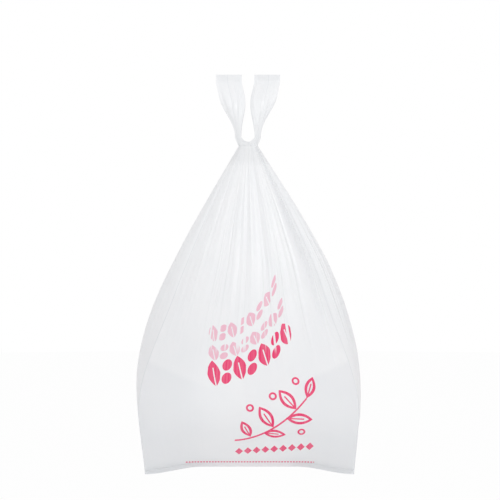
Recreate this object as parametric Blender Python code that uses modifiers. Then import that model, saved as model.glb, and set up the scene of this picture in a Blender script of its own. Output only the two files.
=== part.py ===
"""Thin plastic carrier bag of the vest kind, hanging from its gathered neck and puffed with air.

The bag is one piece of white film: a tube with a tucked gusset down each side, sealed across the
bottom and across the top of two handle loops, with the mouth cut away between the loops. The film
is lofted as one open surface in columns that run from the mouth to the bottom seal, and a Solidify
modifier gives it its wall. The origin is the middle of the gathered neck, the front is towards -Y.
"""

import math

import bmesh
import bpy
import numpy as np

# Sizes of the film as it was cut, before it was gathered
PANEL_WIDTH = 0.305
GUSSET_WIDTH = 0.178
FILM_WALL = 0.0004

# The hanging form, measured down from the neck
BODY_DROP = 0.4786
BELLY_DROP = 0.353
NECK_RADIUS = 0.014
BELLY_HALF_WIDTH = 0.1635
BELLY_HALF_DEPTH = 0.103
NECK_SIDE_SLOPE = 0.63
NECK_FRONT_SLOPE = 0.42
SEAL_SIDE_SLOPE = -0.05
OVAL_POWER = 2.3
CLOSING_POWER = 2.6

# Bottom seal: four layers of film lie together in a narrow hem
SEAL_HEM = 0.006
LAYER_PITCH = 0.0014
OUTER_LAYER = 1.5 * LAYER_PITCH
INNER_LAYER = 0.5 * LAYER_PITCH
CREASE_ROUND = 0.0015
SEAL_ARCH = 0.011
SEAL_FLAT_SHARE = 0.45
CORNER_DEPTH_SHARE = 0.72
PANEL_BOW_POWER = 4
CORNER_START_RISE = 0.27
CREASE_INSET = 0.07
TUCK_START_RISE = 0.085

# Gathers that run down from the neck
PLEATS = 24
PLEAT_SHARE = 0.5
PLEAT_LEAN = 0.14
PLEAT_LEAN_ANGLE = math.radians(35)
PLEAT_UNEVEN = 0.22
PLEAT_UNEVEN_STEP = 2.4
PLEAT_FADE = 0.06
PLEAT_SLACK_LIMIT = 3.2

# Mouth collar and handle loops above the neck
COLLAR_HEIGHT = 0.012
COLLAR_RADIUS = 0.019
MOUTH_DIP = 0.007
LOOP_TOP = 0.104
LOOP_TAB = 0.008
LOOP_TOP_WIDTH = 0.038
LOOP_TOP_CENTRE = 0.028
LOOP_BOW = 0.036
LOOP_BOW_HEIGHT = 0.04
LOOP_CLOSING_HEIGHT = 0.072
LOOP_FLAT_SHARE = 0.6
LOOP_PLEATS = 3
LOOP_PLEAT_DEPTH = 0.0016

# Columns of the film: front centre, half panel, half gusset, then the same mirrored round the bag
HALF_PANEL_COLUMNS = 15
HALF_GUSSET_COLUMNS = 9
QUARTER_COLUMNS = HALF_PANEL_COLUMNS + HALF_GUSSET_COLUMNS
COLUMNS = 4 * QUARTER_COLUMNS
BACK_CENTRE = 2 * QUARTER_COLUMNS
STRAP_START = 8
STRAP_COLUMNS = 13
STRAP_ANGLE = 2.0 * math.pi * (STRAP_START + STRAP_COLUMNS / 2.0) / COLUMNS

# Rows of the film, closer together where the form turns quickly
COLLAR_ROWS = 2
UPPER_ROWS = 10
LOWER_ROWS = 7
STRAP_ROWS = 9
UPPER_ROW_CROWDING = 1.5
LOWER_ROW_CROWDING = 0.75
OVAL_SAMPLES = 240

BAG_NAME = "plastic_carrier_bag"
FILM_NAME = "bag_film"
FILM_COLOUR = (0.82, 0.83, 0.85, 1.0)
FILM_ROUGHNESS = 0.42


def clear_scene():
    """Remove every object that is in the scene."""
    for thing in list(bpy.data.objects):
        bpy.data.objects.remove(thing, do_unlink=True)


def smooth_step(value, start, end):
    """Rise smoothly from 0 at start to 1 at end."""
    share = min(1.0, max(0.0, (value - start) / (end - start)))
    return share * share * (3.0 - 2.0 * share)


def hermite(share, span, start, start_slope, end, end_slope):
    """Value on a cubic between two heights with a slope given at each end."""
    square = share * share
    cube = square * share
    return (
        (2.0 * cube - 3.0 * square + 1.0) * start
        + (cube - 2.0 * square + share) * span * start_slope
        + (3.0 * square - 2.0 * cube) * end
        + (cube - square) * span * end_slope
    )


def half_width(drop):
    """Half of the bag's width at a drop below the neck."""
    if drop <= BELLY_DROP:
        return hermite(drop / BELLY_DROP, BELLY_DROP, NECK_RADIUS, NECK_SIDE_SLOPE, BELLY_HALF_WIDTH, 0.0)
    span = BODY_DROP - BELLY_DROP
    share = (drop - BELLY_DROP) / span
    return hermite(share, span, BELLY_HALF_WIDTH, 0.0, PANEL_WIDTH / 2.0, SEAL_SIDE_SLOPE)


def half_depth(drop):
    """Half of the bag's depth at a drop below the neck, closing like a pillow to the seal."""
    if drop <= BELLY_DROP:
        return hermite(drop / BELLY_DROP, BELLY_DROP, NECK_RADIUS, NECK_FRONT_SLOPE, BELLY_HALF_DEPTH, 0.0)
    share = min(1.0, (drop - BELLY_DROP) / (BODY_DROP - SEAL_HEM - BELLY_DROP))
    return OUTER_LAYER + (BELLY_HALF_DEPTH - OUTER_LAYER) * (1.0 - share ** CLOSING_POWER)


def film_share(column):
    """Share of the quarter girth that a column of the first quarter lies from the front centre."""
    if column <= HALF_PANEL_COLUMNS:
        distance = PANEL_WIDTH / 2.0 * column / HALF_PANEL_COLUMNS
    else:
        past_crease = (column - HALF_PANEL_COLUMNS) / HALF_GUSSET_COLUMNS
        distance = PANEL_WIDTH / 2.0 + GUSSET_WIDTH / 2.0 * past_crease
    return distance / ((PANEL_WIDTH + GUSSET_WIDTH) / 2.0)


def puffed_quarter(width, depth):
    """Points of a puffed oval from front centre to side, spaced as the film is, and its length."""
    turns = np.linspace(0.0, math.pi / 2.0, OVAL_SAMPLES + 1)
    xs = width * np.abs(np.sin(turns)) ** (2.0 / OVAL_POWER)
    ys = -depth * np.abs(np.cos(turns)) ** (2.0 / OVAL_POWER)
    steps = np.hypot(np.diff(xs), np.diff(ys))
    lengths = np.concatenate(([0.0], np.cumsum(steps)))
    wanted = [film_share(column) * lengths[-1] for column in range(QUARTER_COLUMNS + 1)]
    points = np.column_stack((np.interp(wanted, lengths, xs), np.interp(wanted, lengths, ys)))
    return points, lengths[-1]


def creased_quarter(width, depth, tuck):
    """Points of a flat-sided outline: a bowed panel to the crease, then the gusset, tucked or not."""
    puff = depth - OUTER_LAYER
    corner = CORNER_DEPTH_SHARE * puff
    pull = tuck * math.sqrt(max(0.0, (GUSSET_WIDTH / 2.0) ** 2 - corner ** 2))
    crease = width - CREASE_INSET * corner
    points = []
    for column in range(HALF_PANEL_COLUMNS):
        across = column / HALF_PANEL_COLUMNS
        if column == HALF_PANEL_COLUMNS - 1:
            across = 1.0 - CREASE_ROUND / crease
        bow = 1.0 - across ** PANEL_BOW_POWER
        points.append((crease * across, -OUTER_LAYER - corner - (puff - corner) * bow))
    points.append((crease, -LAYER_PITCH - corner))
    for column in range(1, HALF_GUSSET_COLUMNS):
        across = column / HALF_GUSSET_COLUMNS
        if column == 1:
            across = CREASE_ROUND / (GUSSET_WIDTH / 2.0)
        x = crease + (width - pull - crease) * across
        points.append((x, -INNER_LAYER - corner * (1.0 - across)))
    points.append((width - pull, 0.0))
    return np.array(points)


def whole_ring(quarter):
    """Mirror a quarter outline round the bag, from the front centre past +X to the back."""
    ring = []
    for column in range(COLUMNS):
        quadrant, step = divmod(column, QUARTER_COLUMNS)
        if quadrant % 2:
            step = QUARTER_COLUMNS - step
        side = 1.0 if quadrant < 2 else -1.0
        face = 1.0 if quadrant in (0, 3) else -1.0
        ring.append((side * quarter[step][0], face * quarter[step][1]))
    return np.array(ring)


def pleat_depth(column, pleat_width, slack):
    """Depth of the gather at a column, deeper towards the right of the front."""
    angle = 2.0 * math.pi * column / COLUMNS
    lean = PLEAT_LEAN * math.cos(angle - PLEAT_LEAN_ANGLE)
    pleat = round(column * PLEATS / COLUMNS) % PLEATS
    uneven = 1.0 + PLEAT_UNEVEN * math.sin(PLEAT_UNEVEN_STEP * pleat)
    wave = 1.0 - math.cos(2.0 * math.pi * column * PLEATS / COLUMNS)
    return (PLEAT_SHARE + lean) * uneven * pleat_width / math.pi * math.sqrt(slack) * wave


def gather(ring, length, drop):
    """Press the gathers into a ring, so that the spare film has somewhere to go."""
    belly_length = puffed_quarter(BELLY_HALF_WIDTH, BELLY_HALF_DEPTH)[1]
    slack = min(PLEAT_SLACK_LIMIT, max(0.0, belly_length / length - 1.0))
    fade = 1.0 - smooth_step(drop, BELLY_DROP - PLEAT_FADE, BELLY_DROP)
    tangent = np.roll(ring, -1, axis=0) - np.roll(ring, 1, axis=0)
    tangent /= np.linalg.norm(tangent, axis=1)[:, None]
    inward = np.column_stack((-tangent[:, 1], tangent[:, 0]))
    girth = 4.0 * length
    pleat_width = girth / PLEATS
    depths = [fade * pleat_depth(column, pleat_width, slack) for column in range(COLUMNS)]
    return ring + inward * np.array(depths)[:, None]


def seal_lift(x, width, drop):
    """Rise of the film's lower edge between the bottom corners."""
    outer = smooth_step(abs(x) / width, SEAL_FLAT_SHARE, 1.0)
    return SEAL_ARCH * (1.0 - outer) * smooth_step(drop, BELLY_DROP, BODY_DROP - SEAL_HEM)


def body_ring(drop):
    """All columns of the film at one drop below the neck."""
    width = half_width(drop)
    depth = half_depth(drop)
    quarter, length = puffed_quarter(width, depth)
    rise = BODY_DROP - drop
    corner = 1.0 - smooth_step(rise, TUCK_START_RISE, CORNER_START_RISE)
    tuck = 1.0 - smooth_step(rise, SEAL_HEM, TUCK_START_RISE)
    if corner > 0.0:
        quarter = quarter + corner * (creased_quarter(width, depth, tuck) - quarter)
    ring = gather(whole_ring(quarter), length, drop)
    return [(x, y, seal_lift(x, width, drop) - drop) for x, y in ring]


def mouth_height(column):
    """Height of the mouth's cut edge, or of a strap's root, above the neck."""
    from_centre = min(column % BACK_CENTRE, BACK_CENTRE - column % BACK_CENTRE)
    if from_centre >= STRAP_START:
        return COLLAR_HEIGHT
    return COLLAR_HEIGHT - MOUTH_DIP * (1.0 - (from_centre / STRAP_START) ** 2)


def collar_ring(share):
    """All columns of the film between the neck, at 0, and the mouth's edge, at 1."""
    radius = NECK_RADIUS + (COLLAR_RADIUS - NECK_RADIUS) * share
    quarter, length = puffed_quarter(radius, radius)
    ring = gather(whole_ring(quarter), length, 0.0)
    return [(x, y, share * mouth_height(column)) for column, (x, y) in enumerate(ring)]


def body_drops():
    """Drops of the rows from the neck to the bottom edge."""
    upper = [BELLY_DROP * (row / UPPER_ROWS) ** UPPER_ROW_CROWDING for row in range(UPPER_ROWS + 1)]
    closing = BODY_DROP - SEAL_HEM - BELLY_DROP
    lower = []
    for row in range(1, LOWER_ROWS + 1):
        lower.append(BELLY_DROP + closing * (row / LOWER_ROWS) ** LOWER_ROW_CROWDING)
    return upper + lower + [BODY_DROP]


def strap_centre(share):
    """Middle of a right front strap from its root to the tab: across, towards the front, and up."""
    rest = 1.0 - share
    weights = (rest ** 3, 3.0 * rest ** 2 * share, 3.0 * rest * share ** 2, share ** 3)
    root_away = COLLAR_RADIUS * math.cos(STRAP_ANGLE)
    closed = INNER_LAYER
    rise = LOOP_TOP - COLLAR_HEIGHT
    aways = (root_away, LOOP_BOW, closed, closed)
    heights = (0.0, LOOP_BOW_HEIGHT, LOOP_CLOSING_HEIGHT, rise - LOOP_TAB)
    root_x = COLLAR_RADIUS * math.sin(STRAP_ANGLE)
    across = root_x + (LOOP_TOP_CENTRE - root_x) * smooth_step(share, 0.0, 1.0)
    away = sum(weight * value for weight, value in zip(weights, aways))
    height = COLLAR_HEIGHT + sum(weight * value for weight, value in zip(weights, heights))
    return across, away, height


def strap_row(share, roots):
    """One row across the right front strap, turning from the collar's curve to the flat tab."""
    flat = smooth_step(share, 0.0, LOOP_FLAT_SHARE)
    angle = STRAP_ANGLE * (1.0 - flat)
    middle_x, middle_away, height = strap_centre(share)
    wave_depth = LOOP_PLEAT_DEPTH * math.sin(math.pi * share) ** 2
    row = []
    for step, (root_x, root_y) in enumerate(roots):
        across = step / STRAP_COLUMNS
        root_along = root_x * math.cos(STRAP_ANGLE) + root_y * math.sin(STRAP_ANGLE)
        root_out = root_x * math.sin(STRAP_ANGLE) - root_y * math.cos(STRAP_ANGLE) - COLLAR_RADIUS
        along = (1.0 - flat) * root_along + flat * LOOP_TOP_WIDTH * (across - 0.5)
        out = (1.0 - flat) * root_out + wave_depth * math.sin(2.0 * math.pi * LOOP_PLEATS * across)
        x = middle_x + along * math.cos(angle) + out * math.sin(angle)
        y = -middle_away + along * math.sin(angle) - out * math.cos(angle)
        row.append((x, y, height))
    return row


def add_row(mesh, points):
    """Add a row of vertices."""
    return [mesh.verts.new(point) for point in points]


def join_rows(mesh, upper, lower, closed):
    """Fill the band between two rows of equal length, with its outer face to the right of travel."""
    count = len(upper)
    for start in range(count if closed else count - 1):
        end = (start + 1) % count
        mesh.faces.new((upper[start], lower[start], lower[end], upper[end]))


def add_loop(mesh, mouth, side):
    """Run one handle loop from its front strap's root over the top tab to its back strap's root."""
    steps = range(STRAP_START, STRAP_START + STRAP_COLUMNS + 1)
    fronts = [mouth[(side * step) % COLUMNS] for step in steps]
    backs = [mouth[(BACK_CENTRE - side * step) % COLUMNS] for step in steps]
    rows = [fronts]
    for face, root_row in ((1, fronts), (-1, backs)):
        roots = [(side * vertex.co.x, face * vertex.co.y) for vertex in root_row]
        leg = [strap_row(row / STRAP_ROWS, roots) for row in range(1, STRAP_ROWS + 1)]
        leg.append([(x, y, LOOP_TOP) for x, y, _ in leg[-1]])
        leg = [[(side * x, face * y, z) for x, y, z in points] for points in leg]
        rows.extend(add_row(mesh, points) for points in (leg if face > 0 else leg[::-1]))
    rows.append(backs)
    for lower, upper in zip(rows, rows[1:]):
        if side > 0:
            join_rows(mesh, upper, lower, closed=False)
        else:
            join_rows(mesh, lower, upper, closed=False)


def edge_quarter(edge, side, face):
    """The bottom edge from the middle of a panel, past its crease, to the middle of the gusset."""
    indices = range(QUARTER_COLUMNS + 1)
    if face > 0:
        return [edge[(side * index) % COLUMNS] for index in indices]
    return [edge[(side * (BACK_CENTRE - index)) % COLUMNS] for index in indices]


def close_bottom(mesh, edge):
    """Weld the four layers of the bottom edge together, pocket by pocket."""
    crease = HALF_PANEL_COLUMNS
    inner = HALF_PANEL_COLUMNS - HALF_GUSSET_COLUMNS
    for side in (1, -1):
        for face in (1, -1):
            quarter = edge_quarter(edge, side, face)
            for step in range(HALF_GUSSET_COLUMNS):
                outline = [quarter[crease - step], quarter[crease - step - 1], quarter[crease + step + 1]]
                if step:
                    outline.append(quarter[crease + step])
                mesh.faces.new(outline if side * face > 0 else outline[::-1])
        tip = [edge[(side * index) % COLUMNS] for index in (inner, BACK_CENTRE - inner, QUARTER_COLUMNS)]
        mesh.faces.new(tip if side > 0 else tip[::-1])
    for index in range(-inner, inner):
        mesh.faces.new((
            edge[index % COLUMNS],
            edge[(BACK_CENTRE - index) % COLUMNS],
            edge[(BACK_CENTRE - index - 1) % COLUMNS],
            edge[(index + 1) % COLUMNS],
        ))


def film_surface():
    """The whole film as one open surface without thickness."""
    mesh = bmesh.new()
    collar = [collar_ring(row / COLLAR_ROWS) for row in range(COLLAR_ROWS, 0, -1)]
    body = [body_ring(drop) for drop in body_drops()]
    rows = [add_row(mesh, points) for points in collar + body]
    for upper, lower in zip(rows, rows[1:]):
        join_rows(mesh, upper, lower, closed=True)
    for side in (1, -1):
        add_loop(mesh, rows[0], side)
    close_bottom(mesh, rows[-1])
    bmesh.ops.recalc_face_normals(mesh, faces=mesh.faces)
    return mesh


def film_material():
    """White blown film with a dull gloss."""
    material = bpy.data.materials.new("white_film")
    material.use_nodes = True
    shader = material.node_tree.nodes["Principled BSDF"]
    shader.inputs["Base Color"].default_value = FILM_COLOUR
    shader.inputs["Roughness"].default_value = FILM_ROUGHNESS
    shader.inputs["Metallic"].default_value = 0.0
    return material


def make_bag():
    """Build the film and put it in the bag's own collection."""
    collection = bpy.data.collections.new(BAG_NAME)
    bpy.context.scene.collection.children.link(collection)
    surface = film_surface()
    data = bpy.data.meshes.new(FILM_NAME)
    surface.to_mesh(data)
    surface.free()
    data.shade_smooth()
    data.materials.append(film_material())
    film = bpy.data.objects.new(FILM_NAME, data)
    collection.objects.link(film)
    wall = film.modifiers.new("wall", "SOLIDIFY")
    wall.thickness = FILM_WALL
    wall.offset = 0.0
    wall.use_even_offset = False
    wall.use_rim = True
    return film


clear_scene()
make_bag()
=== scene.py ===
"""Looks of the plastic carrier bag: thin white blown film, gathered at the neck and puffed with air.

The film is one lofted sheet. Its columns run from the die-cut mouth to the bottom seal and its rows
go round the bag, so that every point knows its place on the film as it was cut. The gathers, the
side gussets and the print all follow that place. Lengths are in metres, the front is towards -Y and
the origin is the middle of the gathered neck.
"""

import functools
import math

import bmesh
import bpy
import numpy as np
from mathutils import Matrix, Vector


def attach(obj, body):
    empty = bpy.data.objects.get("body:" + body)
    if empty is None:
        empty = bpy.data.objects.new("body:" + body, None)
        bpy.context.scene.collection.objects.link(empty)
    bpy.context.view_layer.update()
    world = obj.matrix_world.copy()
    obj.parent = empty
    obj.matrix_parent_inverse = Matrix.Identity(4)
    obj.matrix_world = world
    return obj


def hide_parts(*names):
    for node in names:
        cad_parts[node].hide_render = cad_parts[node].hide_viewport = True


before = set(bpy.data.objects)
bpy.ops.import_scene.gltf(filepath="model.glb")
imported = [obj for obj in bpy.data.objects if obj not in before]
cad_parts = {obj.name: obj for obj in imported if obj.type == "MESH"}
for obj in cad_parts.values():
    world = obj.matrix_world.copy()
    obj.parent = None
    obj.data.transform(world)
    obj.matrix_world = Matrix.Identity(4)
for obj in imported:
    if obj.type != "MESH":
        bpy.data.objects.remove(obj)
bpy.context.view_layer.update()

# Film as it was cut
PANEL_WIDTH = 0.305
GUSSET_WIDTH = 0.178
GIRTH = 2.0 * (PANEL_WIDTH + GUSSET_WIDTH)

# Hanging form, measured down from the neck
BODY_DROP = 0.4786
BELLY_DROP = 0.353
NECK_RADIUS = 0.014
BELLY_HALF_WIDTH = 0.1635
BELLY_HALF_DEPTH = 0.103
NECK_SIDE_SLOPE = 0.63
NECK_FRONT_SLOPE = 0.42
SEAL_SIDE_SLOPE = -0.05
OVAL_POWER = 2.3
CLOSING_POWER = 2.6

# Sideways sway of the middle line: drop below the neck, then shift towards +X
SWAY = ((0.0, 0.0005), (0.085, 0.0025), (0.17, 0.004), (0.26, 0.0012), (0.33, 0.0005), (0.42, 0.0022))

# Bottom seal and side gussets
SEAL_HEM = 0.006
LAYER_PITCH = 0.0014
CREASE_ROUND = 0.0015
SEAL_ARCH = 0.011
SEAL_FLAT_SHARE = 0.45
CORNER_DEPTH_SHARE = 0.72
PANEL_BOW_POWER = 4
CORNER_START_RISE = 0.27
CREASE_INSET = 0.07
TUCK_START_RISE = 0.085

# Mouth collar and handle loops
COLLAR_HEIGHT = 0.012
COLLAR_RADIUS = 0.019
MOUTH_DIP = 0.007
LOOP_TOP = 0.104
LOOP_TAB = 0.008
LOOP_TOP_WIDTH = 0.038
LOOP_TOP_CENTRE = 0.028
LOOP_BOW = 0.036
LOOP_BOW_HEIGHT = 0.04
LOOP_CLOSING_HEIGHT = 0.072
LOOP_FLAT_SHARE = 0.6
LOOP_CUP = 0.006
LOOP_WRINKLE = 0.0016
LOOP_WRINKLES = 10

# Columns and rows of the film sheet
HALF_PANEL_COLUMNS = 108
HALF_GUSSET_COLUMNS = 63
QUARTER_COLUMNS = HALF_PANEL_COLUMNS + HALF_GUSSET_COLUMNS
COLUMNS = 4 * QUARTER_COLUMNS
BACK_CENTRE = 2 * QUARTER_COLUMNS
STRAP_START = 57
STRAP_COLUMNS = 93
STRAP_ANGLE = 2.0 * math.pi * (STRAP_START + STRAP_COLUMNS / 2.0) / COLUMNS
COLLAR_ROWS = 6
BODY_ROWS = 94
STRAP_ROWS = 26
ROW_CROWDING = 0.07
PROFILE_SAMPLES = 240
PROFILE_COLUMN = 36
OVAL_SAMPLES = 480
CREASE_ANGLE = math.radians(32)
OUTER_LAYER = 1.5 * LAYER_PITCH
INNER_LAYER = 0.5 * LAYER_PITCH

# Gathers: each fold line runs down the film from the neck and dies out at a drop of its own.
# A set's share is its folds' depth, as a share of what the slack of the film allows
FOLD_SEED = 11
FOLD_LEAN_ANGLE = math.radians(40)
FOLD_LEAN = 0.4
FOLD_CALM_ANGLE = math.radians(-55)
FOLD_CALM_REACH = math.radians(32)
FOLD_CALM = 0.6
FOLD_SHALLOWEST = 0.25
FOLD_HEIGHT_POWER = 1.5
FOLD_FADE_SHARE = 0.3
FOLD_SLACK_LIMIT = 3.2
FOLD_START_SLACK = 0.04
FOLD_NECK_SHARE = 0.33
FOLD_OPEN_DROP = 0.16
FOLD_SETS = (
    {"count": 22, "uneven": 0.9, "share": 0.46, "shortest": 0.22, "longest": 0.37},
    {"count": 46, "uneven": 0.9, "share": 0.30, "shortest": 0.16, "longest": 0.36},
    {"count": 96, "uneven": 0.7, "share": 0.09, "shortest": 0.05, "longest": 0.28},
)

# Soft swell of the film below the gathers: waves round the bag and down it, and the drops it spans
BILLOW_SEED = 5
BILLOW_WAVES = 7
BILLOW_DEPTH = 0.0011
BILLOW_FEWEST = 2
BILLOW_MOST = 9
BILLOW_DOWN = 26.0
BILLOW_START = (0.08, 0.25)
BILLOW_END = 0.41

# Photograph: its width in pixels, and the scale at the bag's middle plane
PHOTO_PIXELS = 500
PIXEL = 0.001459
NECK_PIXEL = (248, 146)
CAMERA_DISTANCE = 2.2
CAMERA_X = (PHOTO_PIXELS / 2.0 - NECK_PIXEL[0]) * PIXEL
CAMERA_HEIGHT = -(PHOTO_PIXELS / 2.0 - NECK_PIXEL[1]) * PIXEL
SENSOR_WIDTH = 36.0
DEPTH_STEPS = 4

# Film: its colours and gloss, and the light that it lets through, less where it is gathered
FILM_LIGHT = "#F4F4F5"
FILM_COOL = "#EDEFF1"
# FILM_SHADE is the grey that the film's streaks and the painted shades on the film are blended towards
FILM_SHADE = "#DADDE1"
FILM_ROUGHNESS = 0.3
FILM_IOR = 1.5
THROUGH_SHARE = 0.3
GATHERED_THROUGH_SHARE = 0.18
THROUGH_RISE = (0.2, 0.42)
LOOP_THROUGH_RISE = (0.49, 0.52)

# Noise on the film, in spots per metre across and down it
NOISE_ROUGHNESS = 0.55
STREAKS = {"across": 420.0, "down": 5.0, "detail": 2.0}
CLOUDS = {"across": 16.0, "down": 16.0, "detail": 2.0}
PLEATS = {"across": 130.0, "down": 1.5, "detail": 1.0}
CRINKLES = {"across": 45.0, "down": 30.0, "detail": 3.0}

# Fine relief and streaks: where the gathers fade in above the seal, and how strong each is. The streaks'
# grey is partly the film's own streaks and partly painted shade of the fine pleats, stronger in the gathers
GATHERS_RISE = (0.17, 0.36)
NECK_CALM = (0.3, 0.5, 1.0, 0.2)
RIDGE_LEVELS = (0.46, 0.7)
RIDGE_WEIGHT = 1.6
STREAK_WEIGHT = 0.6
RIDGES_TO_RIGHT = 0.6
RIDGE_BUMP = {"Strength": 0.35, "Distance": 0.0016}
CRINKLE_BUMP = {"Strength": 0.36, "Distance": 0.0014}
STREAK_LEVELS = (0.45, 0.75)
STREAK_SHADES = (0.04, 0.09)

# Painted shade of the welded hem and the creases, and painted shade where the tucked gusset shows through
# the panel
CREASE_LINE = 0.0007
HEM_SHADE = 0.2
SEAM_SHADE = 0.6
TUCK_SHADE = 0.2
TUCK_SHADE_BASE = 0.17
TUCK_SHADE_RISE = 0.35
TUCK_SHADE_EDGE = 0.01
TUCK_SHADE_SIDE = (0.03, 0.1)

# Print: one ink. Places are pixels of the photograph that on_film turns into film coordinates
INK = "#EC326E"
INK_PALE = "#EEB4C7"
BOLD_ROW = {"start": (206, 387), "finish": (292, 341), "rise_power": 2.0, "height": 0.037, "count": 7}
PALE_ROWS = (
    {"start": (207, 361), "finish": (284, 309), "rise_power": 2.2, "height": 0.0225, "count": 8},
    {"start": (207, 342), "finish": (276, 286), "rise_power": 2.4, "height": 0.024, "count": 8},
)
PALE_SHARE = 0.9
INK_WEAR = (0.35, 0.65, 1.0, 0.9)
SLIT_LEVELS = (0.57, 0.61)
SLITS_RISE = (0.228, 0.245)

# Motifs of the rows, in shares of a motif's place
LEAF_LEAN = 0.5
LEAF_HALF_WIDTH = 0.5
VEIN_HALF_WIDTH = 0.045
VEIN_TOP = 0.72
SPOT_HALF_WIDTH = 0.38
SPOT_HALF_HEIGHT = 0.42

# Line drawing of the sprig: the line's width, and the shares of it that each stroke takes
DRAWN_LINE = 0.0027
STEM_SHARE = 0.6
OUTLINE_SHARE = 1.5
LEAF_VEIN_SHARE = 0.35
LEAF_VEIN_END = 0.35
SPRIG_START = (233, 441)
SPRIG_END = (306, 398)
SPRIG_RISE_POWER = 1.7
SPRIG_LEAVES = (
    {"pixel": (249, 437), "angle": 114, "length": 0.029, "width": 0.015},
    {"pixel": (262, 433), "angle": -6, "length": 0.031, "width": 0.015},
    {"pixel": (272, 427), "angle": 122, "length": 0.036, "width": 0.018},
    {"pixel": (285, 418), "angle": -4, "length": 0.036, "width": 0.017},
    {"pixel": (295, 409), "angle": 130, "length": 0.035, "width": 0.018},
    {"pixel": (306, 398), "angle": 68, "length": 0.031, "width": 0.015},
)
SPRIG_BERRIES = ((249, 408), (272, 396), (300, 432), (295, 381))
SPRIG_BERRY_RADIUS = 0.0055

# Row of diamonds and dashed line
DIAMONDS_START = (233, 453)
DIAMONDS_END = (313, 447)
DIAMONDS = 9.0
DIAMOND_HEIGHT = 0.021
DIAMOND_SIZE = 0.46
DASHES_START = (183, 464)
DASHES_END = (313, 464)
DASH_PITCH = 0.0042
DASH_HEIGHT = 0.0052
DASH_SHARE = 0.62

# Studio: the floor, the white surround as a light, and the lamps
FLOOR_HEIGHT = -0.9
FLOOR_RADIUS = 9.0
FLOOR_SIDES = 96
FLOOR_COLOUR = "#F7F7F7"
FLOOR_WHITE_SHARE = 0.88
STUDIO_WHITE = "#FFFFFF"
SURROUND_LIGHT = 0.96
LAMP_TARGET = (0.0, 0.0, -0.25)
LAMPS = (
    {"name": "key_lamp", "place": (0.9, -1.8, 1.3), "size": 0.8, "watts": 9.0},
    {"name": "low_lamp", "place": (0.0, -1.6, -0.8), "size": 1.2, "watts": 3.5},
)


def smooth_step(value, start, end):
    """Rise smoothly from 0 at start to 1 at end."""
    share = np.clip((value - start) / (end - start), 0.0, 1.0)
    return share * share * (3.0 - 2.0 * share)


def hermite(share, span, start, start_slope, end, end_slope):
    """Value on a cubic between two heights with a slope given at each end."""
    square = share * share
    cube = square * share
    return (
        (2.0 * cube - 3.0 * square + 1.0) * start
        + (cube - 2.0 * square + share) * span * start_slope
        + (3.0 * square - 2.0 * cube) * end
        + (cube - square) * span * end_slope
    )


def half_width(drop):
    """Half of the bag's width at a drop below the neck."""
    if drop <= BELLY_DROP:
        return hermite(drop / BELLY_DROP, BELLY_DROP, NECK_RADIUS, NECK_SIDE_SLOPE, BELLY_HALF_WIDTH, 0.0)
    span = BODY_DROP - BELLY_DROP
    share = (drop - BELLY_DROP) / span
    return hermite(share, span, BELLY_HALF_WIDTH, 0.0, PANEL_WIDTH / 2.0, SEAL_SIDE_SLOPE)


def half_depth(drop):
    """Half of the bag's depth at a drop below the neck, closing like a pillow to the seal."""
    if drop <= BELLY_DROP:
        return hermite(drop / BELLY_DROP, BELLY_DROP, NECK_RADIUS, NECK_FRONT_SLOPE, BELLY_HALF_DEPTH, 0.0)
    share = min(1.0, (drop - BELLY_DROP) / (BODY_DROP - SEAL_HEM - BELLY_DROP))
    return OUTER_LAYER + (BELLY_HALF_DEPTH - OUTER_LAYER) * (1.0 - share ** CLOSING_POWER)


def film_distances():
    """Distance round the film of each column of the first quarter from the front centre."""
    panel = np.linspace(0.0, PANEL_WIDTH / 2.0, HALF_PANEL_COLUMNS + 1)
    gusset = np.linspace(PANEL_WIDTH / 2.0, GIRTH / 4.0, HALF_GUSSET_COLUMNS + 1)
    return np.concatenate((panel, gusset[1:]))


def puffed_quarter(width, depth):
    """Points of a puffed oval from front centre to side, spaced as the film is, and its length."""
    turns = np.linspace(0.0, math.pi / 2.0, OVAL_SAMPLES + 1)
    xs = width * np.abs(np.sin(turns)) ** (2.0 / OVAL_POWER)
    ys = -depth * np.abs(np.cos(turns)) ** (2.0 / OVAL_POWER)
    lengths = np.concatenate(([0.0], np.cumsum(np.hypot(np.diff(xs), np.diff(ys)))))
    wanted = film_distances() / (GIRTH / 4.0) * lengths[-1]
    return np.column_stack((np.interp(wanted, lengths, xs), np.interp(wanted, lengths, ys))), lengths[-1]


def creased_quarter(width, depth, tuck):
    """Points of a flat-sided outline: a bowed panel to the crease, then the gusset, tucked or not."""
    puff = depth - OUTER_LAYER
    corner = CORNER_DEPTH_SHARE * puff
    pull = tuck * math.sqrt(max(0.0, (GUSSET_WIDTH / 2.0) ** 2 - corner ** 2))
    crease = width - CREASE_INSET * corner
    across = np.linspace(0.0, 1.0, HALF_PANEL_COLUMNS + 1)
    rounded = np.minimum(1.0, (1.0 - across) * crease / CREASE_ROUND)
    bow = 1.0 - across ** PANEL_BOW_POWER
    panel_y = -LAYER_PITCH - INNER_LAYER * rounded - corner - (puff - corner) * bow
    into = np.linspace(0.0, 1.0, HALF_GUSSET_COLUMNS + 1)[1:]
    layer = np.minimum(1.0, (1.0 - into) * GUSSET_WIDTH / 2.0 / CREASE_ROUND)
    gusset_x = crease + (width - pull - crease) * into
    gusset_y = -INNER_LAYER * layer - corner * (1.0 - into)
    panel = np.column_stack((crease * across, panel_y))
    return np.concatenate((panel, np.column_stack((gusset_x, gusset_y))))


def whole_ring(quarter):
    """Mirror a quarter outline round the bag, from the front centre past +X to the back."""
    flipped = quarter[::-1]
    parts = (
        quarter[:-1],
        flipped[:-1] * (1.0, -1.0),
        quarter[:-1] * (-1.0, -1.0),
        flipped[:-1] * (-1.0, 1.0),
    )
    return np.concatenate(parts)


def ring_distances():
    """Film distance of each column from the front centre, all the way round."""
    quarter = film_distances()
    half = np.concatenate((quarter[:-1], GIRTH / 2.0 - quarter[:0:-1]))
    return np.concatenate((half, half + GIRTH / 2.0))


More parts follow.
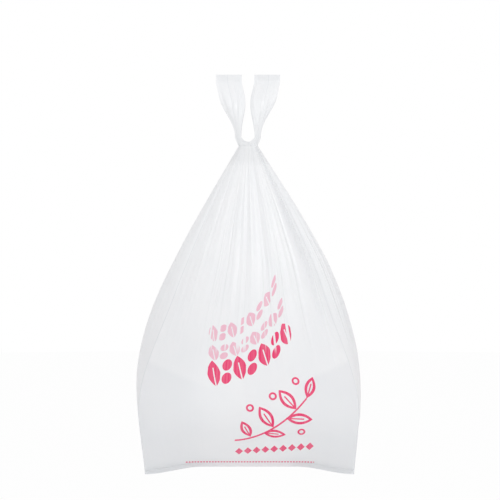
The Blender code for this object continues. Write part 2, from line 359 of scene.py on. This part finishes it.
class Folds:
    """One set of fold lines: where they lie on the film, how deep they are and how far they reach."""

    def __init__(self, random, count, uneven, share, shortest, longest):
        lines = 2 * count
        self.spacing = GIRTH / count
        self.share = share
        jitter = uneven * (random.random(lines) - 0.5)
        self.places = (np.arange(lines) + 0.5 + jitter) * self.spacing / 2.0
        angle = self.places / GIRTH * 2.0 * math.pi
        lean = 1.0 + FOLD_LEAN * np.cos(angle - FOLD_LEAN_ANGLE)
        from_calm = (angle - FOLD_CALM_ANGLE + math.pi) % (2.0 * math.pi) - math.pi
        calm = 1.0 - FOLD_CALM * np.exp(-((from_calm / FOLD_CALM_REACH) ** 2))
        valley = np.arange(lines) % 2
        height = FOLD_SHALLOWEST + (1.0 - FOLD_SHALLOWEST) * random.random(lines) ** FOLD_HEIGHT_POWER
        self.heights = valley * lean * calm * height
        self.reaches = lean * (shortest + (longest - shortest) * random.random(lines))

    def depth(self, distances, drop, squeeze, slack):
        """Depth of the folds round one row, where the film is squeezed to a share of its width."""
        fade = 1.0 - smooth_step(drop, FOLD_FADE_SHARE * self.reaches, self.reaches)
        opening = FOLD_NECK_SHARE + (1.0 - FOLD_NECK_SHARE) * smooth_step(drop, 0.0, FOLD_OPEN_DROP)
        wave = 2.0 * self.spacing * squeeze / math.pi * math.sqrt(slack) * opening
        return np.interp(distances, self.places, self.heights * fade * self.share * wave, period=GIRTH)


def make_folds():
    """All fold sets, from one seeded generator."""
    random = np.random.default_rng(FOLD_SEED)
    return [Folds(random, **settings) for settings in FOLD_SETS]


def billow(distances, drop):
    """Soft uneven swell of the film where it is not gathered."""
    random = np.random.default_rng(BILLOW_SEED)
    swell = np.zeros_like(distances)
    for _ in range(BILLOW_WAVES):
        turns = random.integers(BILLOW_FEWEST, BILLOW_MOST)
        down = BILLOW_DOWN * (random.random() - 0.5) * 2.0
        phase = 2.0 * math.pi * random.random()
        swell += np.sin(2.0 * math.pi * turns * distances / GIRTH + down * drop + phase)
    reach = smooth_step(drop, *BILLOW_START) * (1.0 - smooth_step(drop, BILLOW_END, BODY_DROP - SEAL_HEM))
    on_panel = np.cos(2.0 * math.pi * distances / GIRTH) ** 2
    return BILLOW_DEPTH * reach * on_panel * swell


def gather(ring, length, drop, folds, distances):
    """Press the folds and the uneven swell into a row of the film."""
    belly_length = puffed_quarter(BELLY_HALF_WIDTH, BELLY_HALF_DEPTH)[1]
    slack = min(FOLD_SLACK_LIMIT, max(0.0, belly_length / length - 1.0 + FOLD_START_SLACK))
    squeeze = 4.0 * length / GIRTH
    tangent = np.roll(ring, -1, axis=0) - np.roll(ring, 1, axis=0)
    tangent /= np.linalg.norm(tangent, axis=1)[:, None]
    inward = np.column_stack((-tangent[:, 1], tangent[:, 0]))
    depth = sum(fold.depth(distances, drop, squeeze, slack) for fold in folds) + billow(distances, drop)
    return ring + inward * depth[:, None]


def seal_lift(x, width, drop):
    """Rise of the film's lower edge between the bottom corners."""
    outer = smooth_step(np.abs(x) / width, SEAL_FLAT_SHARE, 1.0)
    return SEAL_ARCH * (1.0 - outer) * smooth_step(drop, BELLY_DROP, BODY_DROP - SEAL_HEM)


def body_quarter(drop):
    """Outline from front centre to side at one drop, puffed above and creased below, and its length."""
    width = half_width(drop)
    depth = half_depth(drop)
    quarter, length = puffed_quarter(width, depth)
    rise = BODY_DROP - drop
    corner = 1.0 - smooth_step(rise, TUCK_START_RISE, CORNER_START_RISE)
    tuck = 1.0 - smooth_step(rise, SEAL_HEM, TUCK_START_RISE)
    if corner > 0.0:
        quarter = quarter + corner * (creased_quarter(width, depth, tuck) - quarter)
    return quarter, length


def sway(drop):
    """Sideways shift of a row, as the hanging bag leans a little."""
    drops, shifts = zip(*SWAY)
    return np.interp(drop, drops, shifts)


def body_row(drop, folds, distances):
    """All columns of the film at one drop below the neck."""
    quarter, length = body_quarter(drop)
    ring = gather(whole_ring(quarter), length, drop, folds, distances)
    height = seal_lift(ring[:, 0], half_width(drop), drop) - drop
    return np.column_stack((ring[:, 0] + sway(drop), ring[:, 1], height))


def mouth_heights():
    """Height of the mouth's cut edge, or of a strap's root, above the neck, for every column."""
    column = np.arange(COLUMNS) % BACK_CENTRE
    from_centre = np.minimum(column, BACK_CENTRE - column)
    dip = MOUTH_DIP * (1.0 - np.minimum(1.0, from_centre / STRAP_START) ** 2)
    return COLLAR_HEIGHT - dip


def collar_row(share, folds, distances):
    """All columns of the film between the neck, at 0, and the mouth's edge, at 1."""
    radius = NECK_RADIUS + (COLLAR_RADIUS - NECK_RADIUS) * share
    quarter, length = puffed_quarter(radius, radius)
    ring = gather(whole_ring(quarter), length, 0.0, folds, distances)
    return np.column_stack((ring, share * mouth_heights()))


def body_drops():
    """Drops of the body's rows, closer together at the neck and above the seal."""
    share = np.linspace(0.0, 1.0, BODY_ROWS + 1)
    eased = share - ROW_CROWDING * np.sin(2.0 * math.pi * share)
    return list(eased * (BODY_DROP - SEAL_HEM)) + [BODY_DROP]


@functools.cache
def front_profile():
    """Front centre line of the bag: drop, depth, film height above the seal and squeeze of the film."""
    drops = np.linspace(-LOOP_TOP, BODY_DROP, PROFILE_SAMPLES)
    depths = []
    squeezes = []
    for drop in drops:
        quarter = body_quarter(max(0.0, drop))[0]
        depths.append(-quarter[0][1])
        squeezes.append(quarter[PROFILE_COLUMN][0] / film_distances()[PROFILE_COLUMN])
    steps = np.hypot(np.diff(drops), np.diff(depths))
    run = np.concatenate(([0.0], np.cumsum(steps)))
    return {
        "drop": drops,
        "depth": np.array(depths),
        "height": run[-1] - run,
        "squeeze": np.array(squeezes),
    }


def strap_centre(share):
    """Middle of a right front strap from its root to the tab: across, towards the front, and up."""
    rest = 1.0 - share
    weights = (rest ** 3, 3.0 * rest ** 2 * share, 3.0 * rest * share ** 2, share ** 3)
    root_away = COLLAR_RADIUS * math.cos(STRAP_ANGLE)
    aways = (root_away, LOOP_BOW, INNER_LAYER, INNER_LAYER)
    heights = (0.0, LOOP_BOW_HEIGHT, LOOP_CLOSING_HEIGHT, LOOP_TOP - COLLAR_HEIGHT - LOOP_TAB)
    root_x = COLLAR_RADIUS * math.sin(STRAP_ANGLE)
    across = root_x + (LOOP_TOP_CENTRE - root_x) * smooth_step(share, 0.0, 1.0)
    away = sum(weight * value for weight, value in zip(weights, aways))
    height = COLLAR_HEIGHT + sum(weight * value for weight, value in zip(weights, heights))
    return across, away, height


def strap_row(share, roots, wrinkle):
    """One row across the right front strap, turning from the collar's curve to the flat tab."""
    flat = smooth_step(share, 0.0, LOOP_FLAT_SHARE)
    angle = STRAP_ANGLE * (1.0 - flat)
    middle_x, middle_away, height = strap_centre(share)
    across = np.linspace(-0.5, 0.5, STRAP_COLUMNS + 1)
    root_along = roots[:, 0] * math.cos(STRAP_ANGLE) + roots[:, 1] * math.sin(STRAP_ANGLE)
    root_out = roots[:, 0] * math.sin(STRAP_ANGLE) - roots[:, 1] * math.cos(STRAP_ANGLE) - COLLAR_RADIUS
    along = (1.0 - flat) * root_along + flat * LOOP_TOP_WIDTH * across
    cupped = LOOP_CUP * (1.0 - (2.0 * across) ** 2)
    out = (1.0 - flat) * root_out + (cupped + wrinkle) * math.sin(math.pi * share) ** 2
    x = middle_x + along * math.cos(angle) + out * math.sin(angle)
    y = -middle_away + along * math.sin(angle) - out * math.cos(angle)
    return np.column_stack((x, y, np.full_like(x, height)))


class FilmSheet:
    """The film as rows of vertices, each with its place on the film as it was cut."""

    def __init__(self):
        self.mesh = bmesh.new()
        self.places = {}
        self.folds = make_folds()
        self.distances = ring_distances()
        self.profile = front_profile()

    def film_height(self, drop):
        """Height above the bottom edge of a row, measured along the film down the front."""
        return np.interp(drop, self.profile["drop"], self.profile["height"])

    def add_row(self, points, distances):
        """Add a row of vertices with their distances round the film and heights above its lower edge."""
        row = []
        for point, distance in zip(points, distances):
            vertex = self.mesh.verts.new(point)
            self.places[vertex] = (distance, self.film_height(-point[2]))
            row.append(vertex)
        return row

    def join(self, upper, lower, closed):
        """Fill the band between two rows of equal length."""
        count = len(upper)
        for start in range(count if closed else count - 1):
            end = (start + 1) % count
            self.mesh.faces.new((upper[start], lower[start], lower[end], upper[end]))


def build_film():
    """Loft the whole film: collar, body, both handle loops and the welded bottom edge."""
    sheet = FilmSheet()
    shares = [row / COLLAR_ROWS for row in range(COLLAR_ROWS, 0, -1)]
    collar = [collar_row(share, sheet.folds, sheet.distances) for share in shares]
    body = [body_row(drop, sheet.folds, sheet.distances) for drop in body_drops()]
    grid = collar + body
    rows = [sheet.add_row(points, sheet.distances) for points in grid]
    for upper, lower in zip(rows, rows[1:]):
        sheet.join(upper, lower, closed=True)
    for side in (1, -1):
        add_loop(sheet, rows[0], side)
    close_bottom(sheet.mesh, rows[-1])
    return sheet


def add_loop(sheet, mouth, side):
    """Run one handle loop from its front strap's root over the top tab to its back strap's root."""
    steps = range(STRAP_START, STRAP_START + STRAP_COLUMNS + 1)
    fronts = [mouth[(side * step) % COLUMNS] for step in steps]
    backs = [mouth[(BACK_CENTRE - side * step) % COLUMNS] for step in steps]
    random = np.random.default_rng(FOLD_SEED + side)
    rows = [fronts]
    for face, root_row in ((1, fronts), (-1, backs)):
        roots = np.array([(side * vertex.co.x, face * vertex.co.y) for vertex in root_row])
        knots = np.linspace(0.0, 1.0, LOOP_WRINKLES)
        depths = LOOP_WRINKLE * (2.0 * random.random(LOOP_WRINKLES) - 1.0)
        wrinkle = np.interp(np.linspace(0.0, 1.0, len(roots)), knots, depths)
        leg = [strap_row(row / STRAP_ROWS, roots, wrinkle) for row in range(1, STRAP_ROWS + 1)]
        top = leg[-1].copy()
        top[:, 2] = LOOP_TOP
        leg.append(top)
        leg = [points * (side, face, 1.0) for points in leg]
        across = [sheet.places[vertex][0] for vertex in root_row]
        made = [sheet.add_row(points, across) for points in leg]
        rows.extend(made if face > 0 else made[::-1])
    rows.append(backs)
    for lower, upper in zip(rows, rows[1:]):
        pair = (upper, lower) if side > 0 else (lower, upper)
        sheet.join(*pair, closed=False)


def edge_quarter(edge, side, face):
    """The bottom edge from the middle of a panel, past its crease, to the middle of the gusset."""
    indices = range(QUARTER_COLUMNS + 1)
    if face > 0:
        return [edge[(side * index) % COLUMNS] for index in indices]
    return [edge[(side * (BACK_CENTRE - index)) % COLUMNS] for index in indices]


def close_bottom(mesh, edge):
    """Weld the four layers of the bottom edge together, pocket by pocket."""
    crease = HALF_PANEL_COLUMNS
    inner = HALF_PANEL_COLUMNS - HALF_GUSSET_COLUMNS
    for side in (1, -1):
        for face in (1, -1):
            quarter = edge_quarter(edge, side, face)
            for step in range(HALF_GUSSET_COLUMNS):
                outline = [quarter[crease - step], quarter[crease - step - 1], quarter[crease + step + 1]]
                if step:
                    outline.append(quarter[crease + step])
                mesh.faces.new(outline if side * face > 0 else outline[::-1])
        tip = [edge[(side * index) % COLUMNS] for index in (inner, BACK_CENTRE - inner, QUARTER_COLUMNS)]
        mesh.faces.new(tip if side > 0 else tip[::-1])
    for index in range(-inner, inner):
        mesh.faces.new((
            edge[index % COLUMNS],
            edge[(BACK_CENTRE - index) % COLUMNS],
            edge[(BACK_CENTRE - index - 1) % COLUMNS],
            edge[(index + 1) % COLUMNS],
        ))


def signed_distance(distance):
    """Distance from the front centre, positive to the right and negative to the left."""
    return distance - GIRTH if distance > GIRTH / 2.0 else distance


def film_object():
    """Turn the film into one object, its coordinates in a UV map called film."""
    sheet = build_film()
    mesh = sheet.mesh
    bmesh.ops.recalc_face_normals(mesh, faces=mesh.faces)
    layer = mesh.loops.layers.uv.new("film")
    for face in mesh.faces:
        across = [signed_distance(sheet.places[loop.vert][0]) for loop in face.loops]
        if min(across) < -GIRTH / 4.0 and max(across) > GIRTH / 4.0:
            across = [distance - GIRTH if distance > 0.0 else distance for distance in across]
        for loop, distance in zip(face.loops, across):
            loop[layer].uv = (distance, sheet.places[loop.vert][1])
    data = bpy.data.meshes.new("film_sheet")
    mesh.to_mesh(data)
    mesh.free()
    data.shade_smooth()
    data.set_sharp_from_angle(angle=CREASE_ANGLE)
    film = bpy.data.objects.new("film_sheet", data)
    bpy.context.scene.collection.objects.link(film)
    return film


def linear(code):
    """Linear RGBA of an sRGB hex colour."""
    channels = [int(code[place:place + 2], 16) / 255.0 for place in (1, 3, 5)]
    curve = [c / 12.92 if c <= 0.04045 else ((c + 0.055) / 1.055) ** 2.4 for c in channels]
    return (*curve, 1.0)


def add_node(tree, kind, inputs=None, **settings):
    """Add a shader node: inputs maps a socket's name or number to a value or another node's socket."""
    made = tree.nodes.new(kind)
    for name, value in settings.items():
        setattr(made, name, value)
    for name, value in (inputs or {}).items():
        socket = made.inputs[name]
        if isinstance(value, bpy.types.NodeSocket):
            tree.links.new(value, socket)
        else:
            socket.default_value = value
    return made


def compute(tree, operation, *values):
    """Result of one Math node."""
    return add_node(tree, "ShaderNodeMath", dict(enumerate(values)), operation=operation).outputs[0]


def both(tree, *masks):
    """Where all the masks are on."""
    joined = masks[0]
    for mask in masks[1:]:
        joined = compute(tree, "MULTIPLY", joined, mask)
    return joined


def either(tree, *masks):
    """Where at least one of the masks is on."""
    joined = masks[0]
    for mask in masks[1:]:
        joined = compute(tree, "MAXIMUM", joined, mask)
    return joined


def between(tree, value, low, high):
    """Where a value lies between two limits."""
    return both(tree, compute(tree, "GREATER_THAN", value, low), compute(tree, "LESS_THAN", value, high))


def near(tree, value, target, reach):
    """Where a value lies within a distance of its target."""
    offset = compute(tree, "ABSOLUTE", compute(tree, "SUBTRACT", value, target))
    return compute(tree, "LESS_THAN", offset, reach)


def ramp(tree, value, start, end, first=0.0, last=1.0):
    """Change smoothly from the first number to the last as a value goes from start to end."""
    settings = {"Value": value, "From Min": start, "From Max": end, "To Min": first, "To Max": last}
    return add_node(tree, "ShaderNodeMapRange", settings, interpolation_type="SMOOTHSTEP").outputs[0]


def mix_colour(tree, share, first, second):
    """Blend of two colours."""
    mix = add_node(tree, "ShaderNodeMix", data_type="RGBA")
    for socket, value in ((mix.inputs[0], share), (mix.inputs[6], first), (mix.inputs[7], second)):
        if isinstance(value, bpy.types.NodeSocket):
            tree.links.new(value, socket)
        else:
            socket.default_value = value
    return mix.outputs[2]


def stretched_noise(tree, place, across, down, detail):
    """Noise on the film with its grain given as spots per metre across and down the film."""
    mapping = add_node(tree, "ShaderNodeMapping", {"Vector": place, "Scale": (across, down, 1.0)})
    settings = {"Vector": mapping.outputs[0], "Scale": 1.0, "Detail": detail, "Roughness": NOISE_ROUGHNESS}
    return add_node(tree, "ShaderNodeTexNoise", settings).outputs["Fac"]


def on_film(pixel_x, pixel_y):
    """Film coordinates of a place on the front panel that the photograph shows at a pixel."""
    profile = front_profile()
    depth = BELLY_HALF_DEPTH
    for _ in range(DEPTH_STEPS):
        scale = PIXEL * (CAMERA_DISTANCE - depth) / CAMERA_DISTANCE
        drop = -(CAMERA_HEIGHT - (pixel_y - PHOTO_PIXELS / 2.0) * scale)
        depth = np.interp(drop, profile["drop"], profile["depth"])
    x = CAMERA_X + (pixel_x - PHOTO_PIXELS / 2.0) * scale
    across = x / np.interp(drop, profile["drop"], profile["squeeze"])
    return float(across), float(np.interp(drop, profile["drop"], profile["height"]))


def motif_row(tree, across, up, start, finish, rise_power, height, count):
    """Rising row of bold upright motifs, leaves and pairs of spots by turns, as one mask."""
    left, base = on_film(*start)
    right, top = on_film(*finish)
    share = compute(tree, "DIVIDE", compute(tree, "SUBTRACT", across, left), right - left)
    inside = between(tree, share, 0.0, 1.0)
    lift = compute(tree, "POWER", compute(tree, "MAXIMUM", share, 0.0), rise_power)
    foot = compute(tree, "ADD", compute(tree, "MULTIPLY", lift, top - base), base)
    level = compute(tree, "DIVIDE", compute(tree, "SUBTRACT", up, foot), height)
    cell = compute(tree, "MULTIPLY", share, float(count))
    odd = compute(tree, "GREATER_THAN", compute(tree, "MODULO", cell, 2.0), 1.0)
    along = compute(tree, "SUBTRACT", compute(tree, "FRACT", cell), 0.5)
    middle = compute(tree, "SUBTRACT", level, 0.5)
    leaning = compute(tree, "ADD", along, compute(tree, "MULTIPLY", middle, LEAF_LEAN))
    leaf_side = compute(tree, "DIVIDE", compute(tree, "ABSOLUTE", leaning), LEAF_HALF_WIDTH)
    leaf_end = compute(tree, "MULTIPLY", compute(tree, "ABSOLUTE", middle), 2.0)
    leaf = compute(tree, "ADD", leaf_side, compute(tree, "POWER", leaf_end, 2.0))
    below_tip = compute(tree, "LESS_THAN", level, VEIN_TOP)
    vein = both(tree, near(tree, leaning, 0.0, VEIN_HALF_WIDTH), below_tip)
    leaves = both(tree, compute(tree, "LESS_THAN", leaf, 1.0), compute(tree, "SUBTRACT", 1.0, vein))
    half_level = compute(tree, "FRACT", compute(tree, "MULTIPLY", level, 2.0))
    spot_level = compute(tree, "SUBTRACT", half_level, 0.5)
    spot_side = compute(tree, "POWER", compute(tree, "DIVIDE", along, SPOT_HALF_WIDTH), 2.0)
    spot_end = compute(tree, "POWER", compute(tree, "DIVIDE", spot_level, SPOT_HALF_HEIGHT), 2.0)
    spots = compute(tree, "LESS_THAN", compute(tree, "ADD", spot_side, spot_end), 1.0)
    even = compute(tree, "SUBTRACT", 1.0, odd)
    shape = compute(tree, "ADD", both(tree, odd, spots), both(tree, even, leaves))
    return both(tree, shape, inside, between(tree, level, 0.0, 1.0))


def leaf_drawing(tree, place, pixel, angle, length, width):
    """Outlined leaf with a middle vein, its foot at a pixel of the photograph."""
    foot = on_film(*pixel)
    turn = math.radians(angle)
    centre = (foot[0] + math.cos(turn) * length / 2.0, foot[1] + math.sin(turn) * length / 2.0, 0.0)
    settings = {
        "Vector": place,
        "Location": centre,
        "Rotation": (0.0, 0.0, turn),
        "Scale": (length / 2.0, width / 2.0, 1.0),
    }
    mapping = add_node(tree, "ShaderNodeMapping", settings, vector_type="TEXTURE")
    axes = add_node(tree, "ShaderNodeSeparateXYZ", {0: mapping.outputs[0]})
    along = axes.outputs[0]
    aside = compute(tree, "ABSOLUTE", axes.outputs[1])
    field = compute(tree, "ADD", aside, compute(tree, "MULTIPLY", along, along))
    edge = DRAWN_LINE / (width / 2.0)
    outline = between(tree, field, 1.0 - OUTLINE_SHARE * edge, 1.0)
    vein_side = compute(tree, "LESS_THAN", aside, LEAF_VEIN_SHARE * edge)
    vein = both(tree, vein_side, between(tree, along, -1.0, LEAF_VEIN_END))
    return either(tree, outline, vein)


def berry_drawing(tree, place, pixel, radius):
    """Small ring at a pixel of the photograph."""
    centre = on_film(*pixel)
    offset = add_node(tree, "ShaderNodeVectorMath", {0: place, 1: (*centre, 0.0)}, operation="DISTANCE")
    return between(tree, offset.outputs["Value"], radius - DRAWN_LINE, radius)


def sprig_drawing(tree, place, across, up):
    """Line drawing of a rising sprig with leaves and berries."""
    left, base = on_film(*SPRIG_START)
    right, top = on_film(*SPRIG_END)
    share = compute(tree, "DIVIDE", compute(tree, "SUBTRACT", across, left), right - left)
    lift = compute(tree, "POWER", compute(tree, "MAXIMUM", share, 0.0), SPRIG_RISE_POWER)
    stem_height = compute(tree, "ADD", compute(tree, "MULTIPLY", lift, top - base), base)
    stem = both(tree, between(tree, share, 0.0, 1.0), near(tree, up, stem_height, STEM_SHARE * DRAWN_LINE))
    leaves = [leaf_drawing(tree, place, **leaf) for leaf in SPRIG_LEAVES]
    berries = [berry_drawing(tree, place, pixel, SPRIG_BERRY_RADIUS) for pixel in SPRIG_BERRIES]
    return either(tree, stem, *leaves, *berries)


def diamond_row(tree, across, up):
    """Low row of small diamonds, in place of a line of small print."""
    left, base = on_film(*DIAMONDS_START)
    right, top = on_film(*DIAMONDS_END)
    share = compute(tree, "DIVIDE", compute(tree, "SUBTRACT", across, left), right - left)
    foot = compute(tree, "ADD", compute(tree, "MULTIPLY", share, top - base), base)
    along = compute(tree, "FRACT", compute(tree, "MULTIPLY", share, DIAMONDS))
    cell = compute(tree, "SUBTRACT", along, 0.5)
    level = compute(tree, "DIVIDE", compute(tree, "SUBTRACT", up, foot), DIAMOND_HEIGHT)
    field = compute(tree, "ADD", compute(tree, "ABSOLUTE", level), compute(tree, "ABSOLUTE", cell))
    return both(tree, compute(tree, "LESS_THAN", field, DIAMOND_SIZE), between(tree, share, 0.0, 1.0))


def dash_line(tree, across, up):
    """Fine dashed line above the bottom seal."""
    left, base = on_film(*DASHES_START)
    right = on_film(*DASHES_END)[0]
    dash = compute(tree, "FRACT", compute(tree, "DIVIDE", across, DASH_PITCH))
    line = both(tree, near(tree, up, base, DASH_HEIGHT / 2.0), between(tree, across, left, right))
    return both(tree, line, compute(tree, "LESS_THAN", dash, DASH_SHARE))


def film_material():
    """Blown high-density polyethylene film, white: a soft sheen, some light through, fine streaks.

    The eye gets a cool white with faint streaks down the film, grey streaks that are partly painted shade
    of the fine pleats in the gathers, painted shade where the tucked gusset shows through the panel,
    painted shade along the creases and the welded hem, and one ink in a strong and a thin laydown.
    """
    material = bpy.data.materials.new("blown_hdpe_film")
    material.use_nodes = True
    tree = material.node_tree
    tree.nodes.clear()
    place = add_node(tree, "ShaderNodeUVMap", uv_map="film").outputs[0]
    axes = add_node(tree, "ShaderNodeSeparateXYZ", {0: place})
    across = axes.outputs[0]
    up = axes.outputs[1]

    streaks = stretched_noise(tree, place, **STREAKS)
    clouds = stretched_noise(tree, place, **CLOUDS)
    clean = mix_colour(tree, clouds, linear(FILM_LIGHT), linear(FILM_COOL))
    aside = compute(tree, "ABSOLUTE", across)
    from_back = compute(tree, "SUBTRACT", GIRTH / 2.0, aside)
    on_panel = compute(tree, "MINIMUM", aside, from_back)
    # Painted shade: each panel greys below a line that rises towards its creases, where the tucked gusset
    # shows through the film
    tuck_top = compute(tree, "ADD", compute(tree, "MULTIPLY", on_panel, TUCK_SHADE_RISE), TUCK_SHADE_BASE)
    below = compute(tree, "SUBTRACT", tuck_top, up)
    tuck_painted_shade = both(tree, ramp(tree, below, 0.0, TUCK_SHADE_EDGE), ramp(tree, on_panel, *TUCK_SHADE_SIDE),
                  compute(tree, "LESS_THAN", on_panel, PANEL_WIDTH / 2.0), TUCK_SHADE)
    shaded = mix_colour(tree, tuck_painted_shade, clean, linear(FILM_SHADE))
    gathered = both(tree, ramp(tree, up, *GATHERS_RISE), ramp(tree, up, *NECK_CALM))
    pleats = stretched_noise(tree, place, **PLEATS)
    # Film streaks blended a little towards FILM_SHADE, more in the gathers, where the extra grey is painted
    # shade of the fine pleats
    streak_and_pleat_shade = both(tree, ramp(tree, streaks, *STREAK_LEVELS), ramp(tree, up, *GATHERS_RISE, *STREAK_SHADES))
    streaked_and_shaded = mix_colour(tree, streak_and_pleat_shade, shaded, linear(FILM_SHADE))
    # Painted shade: the welded hem along the bottom, and thin lines along the panel creases and the
    # gussets' middle folds, blended towards FILM_SHADE
    hem = both(tree, compute(tree, "LESS_THAN", up, SEAL_HEM), HEM_SHADE)
    panel_crease = near(tree, on_panel, PANEL_WIDTH / 2.0, CREASE_LINE)
    gusset_crease = near(tree, aside, GIRTH / 4.0, CREASE_LINE)
    hem_and_crease_painted_shade = both(tree, either(tree, hem, panel_crease, gusset_crease), SEAM_SHADE)
    plain = mix_colour(tree, hem_and_crease_painted_shade, streaked_and_shaded, linear(FILM_SHADE))

    slits = both(tree, ramp(tree, pleats, *SLIT_LEVELS), ramp(tree, up, *SLITS_RISE))
    ink_wear = both(tree, ramp(tree, streaks, *INK_WEAR), compute(tree, "SUBTRACT", 1.0, slits))
    bold = motif_row(tree, across, up, **BOLD_ROW)
    pale = either(tree, *[motif_row(tree, across, up, **row) for row in PALE_ROWS])
    front = compute(tree, "LESS_THAN", aside, PANEL_WIDTH / 2.0)
    drawn = either(tree, sprig_drawing(tree, place, across, up), diamond_row(tree, across, up),
                   dash_line(tree, across, up))
    printed = mix_colour(tree, both(tree, pale, front, ink_wear, PALE_SHARE), plain, linear(INK_PALE))
    printed = mix_colour(tree, both(tree, either(tree, bold, drawn), front, ink_wear), printed, linear(INK))

    ridge = ramp(tree, pleats, *RIDGE_LEVELS)
    ridges = compute(tree, "MULTIPLY_ADD", ridge, RIDGE_WEIGHT, both(tree, streaks, STREAK_WEIGHT))
    round_bag = compute(tree, "SINE", compute(tree, "MULTIPLY", across, 2.0 * math.pi / GIRTH))
    fine = both(tree, ridges, gathered, compute(tree, "MULTIPLY_ADD", round_bag, RIDGES_TO_RIGHT, 1.0))
    fine_bump = add_node(tree, "ShaderNodeBump", {**RIDGE_BUMP, "Height": fine})
    crinkle = stretched_noise(tree, place, **CRINKLES)
    bump = add_node(tree, "ShaderNodeBump", {
        **CRINKLE_BUMP,
        "Height": crinkle,
        "Normal": fine_bump.outputs[0],
    })
    shader = add_node(tree, "ShaderNodeBsdfPrincipled", {
        "Base Color": printed,
        "Roughness": FILM_ROUGHNESS,
        "IOR": FILM_IOR,
        "Normal": bump.outputs[0],
    })
    through = add_node(tree, "ShaderNodeBsdfTranslucent", {"Color": printed})
    share = either(tree, ramp(tree, up, *THROUGH_RISE, THROUGH_SHARE, GATHERED_THROUGH_SHARE),
                   ramp(tree, up, *LOOP_THROUGH_RISE, 0.0, THROUGH_SHARE))
    mix = add_node(tree, "ShaderNodeMixShader", {0: share, 1: shader.outputs[0], 2: through.outputs[0]})
    add_node(tree, "ShaderNodeOutputMaterial", {"Surface": mix.outputs[0]})
    return material


def stage_material():
    """White studio sweep: plain white to the camera, with a trace of the shadows on it."""
    material = bpy.data.materials.new("white_sweep")
    material.use_nodes = True
    tree = material.node_tree
    tree.nodes.clear()
    output = add_node(tree, "ShaderNodeOutputMaterial")
    matt = add_node(tree, "ShaderNodeBsdfDiffuse", {"Color": linear(FLOOR_COLOUR)})
    glow = add_node(tree, "ShaderNodeEmission", {"Color": linear(STUDIO_WHITE), "Strength": 1.0})
    path = add_node(tree, "ShaderNodeLightPath")
    seen = compute(tree, "MULTIPLY", path.outputs["Is Camera Ray"], FLOOR_WHITE_SHARE)
    mix = add_node(tree, "ShaderNodeMixShader", {0: seen, 1: matt.outputs[0], 2: glow.outputs[0]})
    tree.links.new(mix.outputs[0], output.inputs["Surface"])
    return material


def make_stage():
    """Pale floor under the hanging bag."""
    bpy.ops.mesh.primitive_circle_add(
        vertices=FLOOR_SIDES,
        radius=FLOOR_RADIUS,
        fill_type="NGON",
        location=(0.0, 0.0, FLOOR_HEIGHT),
    )
    floor = bpy.context.object
    floor.name = "floor"
    floor.data.materials.append(stage_material())


def aim(thing, target):
    """Turn a lamp or camera towards a point."""
    thing.rotation_euler = (Vector(target) - thing.location).to_track_quat("-Z", "Y").to_euler()


def make_light(name, place, size, watts):
    """Large soft lamp aimed at the bag's middle."""
    lamp = bpy.data.lights.new(name, "AREA")
    lamp.shape = "SQUARE"
    lamp.size = size
    lamp.energy = watts
    holder = bpy.data.objects.new(name, lamp)
    holder.location = place
    bpy.context.scene.collection.objects.link(holder)
    aim(holder, LAMP_TARGET)


def make_world():
    """White studio surround: white to the camera, gentler as a light."""
    world = bpy.data.worlds.new("studio")
    bpy.context.scene.world = world
    world.use_nodes = True
    tree = world.node_tree
    tree.nodes.clear()
    output = add_node(tree, "ShaderNodeOutputWorld")
    path = add_node(tree, "ShaderNodeLightPath")
    levels = {"Value": path.outputs["Is Camera Ray"], "To Min": SURROUND_LIGHT, "To Max": 1.0}
    strength = add_node(tree, "ShaderNodeMapRange", levels).outputs[0]
    surround = add_node(tree, "ShaderNodeBackground", {"Color": linear(STUDIO_WHITE), "Strength": strength})
    tree.links.new(surround.outputs[0], output.inputs["Surface"])


def make_camera():
    """Level camera whose frame matches the photograph's at the bag's middle plane."""
    data = bpy.data.cameras.new("camera")
    data.sensor_width = SENSOR_WIDTH
    data.lens = data.sensor_width * CAMERA_DISTANCE / (PHOTO_PIXELS * PIXEL)
    camera = bpy.data.objects.new("camera", data)
    camera.location = (CAMERA_X, -CAMERA_DISTANCE, CAMERA_HEIGHT)
    camera.rotation_euler = (math.radians(90.0), 0.0, 0.0)
    bpy.context.scene.collection.objects.link(camera)
    bpy.context.scene.camera = camera


make_stage()
make_world()
make_camera()
for lamp in LAMPS:
    make_light(**lamp)
bpy.context.scene.view_settings.view_transform = "Standard"

film = film_object()
film.data.materials.append(film_material())
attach(film, "root")
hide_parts("bag_film")
